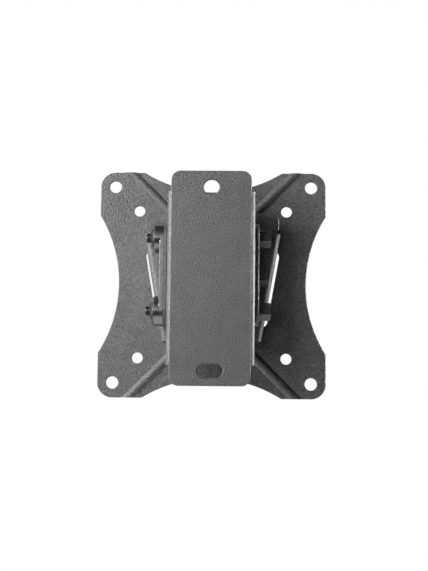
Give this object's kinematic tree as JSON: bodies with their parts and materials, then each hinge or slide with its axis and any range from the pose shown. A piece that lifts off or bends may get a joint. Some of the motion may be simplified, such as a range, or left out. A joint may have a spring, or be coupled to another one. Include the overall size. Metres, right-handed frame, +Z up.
{
  "type": "tilting screen wall bracket",
  "caption": "Pressed steel wall bracket whose waisted screen plate tilts on cross bolts between a wall channel's flanges.",
  "frame": {"origin": "centre of the wall channel's face that lies on the wall", "axes": "+Y from the wall to the screen, +Z up, +X to the right for someone who looks from the wall side along +Y"},
  "size_m": [0.115, 0.034, 0.115],
  "materials": {
    "powder_coat": "satin fine textured powder coat",
    "black_steel": "black oxide, satin",
    "dark_steel": "smooth dark steel, semi-gloss",
    "plated_steel": "dull zinc plating",
    "washer_plastic": "matt"
  },
  "bodies": {
    "wall": {"wall_channel": "powder_coat", "pivot_sleeve": "plated_steel"},
    "screen": {"screen_plate": "powder_coat", "tilt_bracket": "powder_coat", "nut_strap": "dark_steel", "lock_screw": "black_steel", "lock_nut": "black_steel", "lock_washer": "black_steel", "lock_friction_washer": "washer_plastic", "clamp_sleeve": "plated_steel", "pivot_bolt": "black_steel", "pivot_nut": "black_steel", "pivot_washer": "black_steel", "pivot_friction_washer_right": "washer_plastic", "pivot_friction_washer_left": "washer_plastic", "clamp_bolt": "black_steel", "clamp_nut": "black_steel", "clamp_washer": "black_steel", "clamp_friction_washer_right": "washer_plastic", "clamp_friction_washer_left": "washer_plastic"}
  },
  "joints": [
    {"name": "tilt", "type": "hinge", "parent": "wall", "child": "screen", "pos_m": [0, 0.014, 0.02075], "axis": [1, 0, 0], "range_deg": [-10, 10]}
  ]
}
